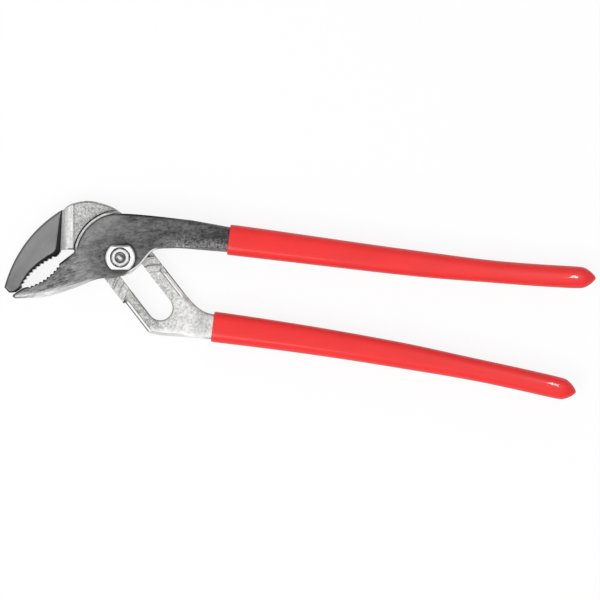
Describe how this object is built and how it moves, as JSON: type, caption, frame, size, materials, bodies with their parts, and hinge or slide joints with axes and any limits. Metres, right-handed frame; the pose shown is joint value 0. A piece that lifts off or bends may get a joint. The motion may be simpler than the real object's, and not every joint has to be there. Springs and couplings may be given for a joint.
{
  "type": "water pump pliers",
  "caption": "Groove-joint water pump pliers with curved toothed jaws, a keyed bolt that slides along a slot between arc grooves, and long handles in red dipped grips.",
  "frame": {"origin": "on the pivot axis, at the outer flat face of the bolt head, with the bolt at its first groove and the jaws closed", "axes": "+X from the jaws towards the handles, +Y across the tool towards the upper handle, +Z along the pivot from the bolt head to the nut"},
  "size_m": [0.3056, 0.1028, 0.0219],
  "materials": {
    "bright_forging": "blasted and plated forging, satin",
    "dark_steel": "ground forging, dark satin",
    "plated_steel": "bright plating",
    "red_grip": "dipped vinyl, semi-gloss"
  },
  "bodies": {
    "rear_arm": {"rear_arm": "bright_forging", "lower_grip": "red_grip"},
    "pivot": {"pivot_bolt": "plated_steel", "pivot_nut": "plated_steel"},
    "front_arm": {"front_arm": "dark_steel", "upper_grip": "red_grip"}
  },
  "joints": [
    {"name": "groove_slide", "type": "slide", "parent": "rear_arm", "child": "pivot", "axis": [0.6143, -0.7891, 0], "range_m": [0, 0.0315]},
    {"name": "jaw_hinge", "type": "hinge", "parent": "pivot", "child": "front_arm", "pos_m": [0, 0, 0], "axis": [0, 0, 1], "range_deg": [0, 60]}
  ]
}
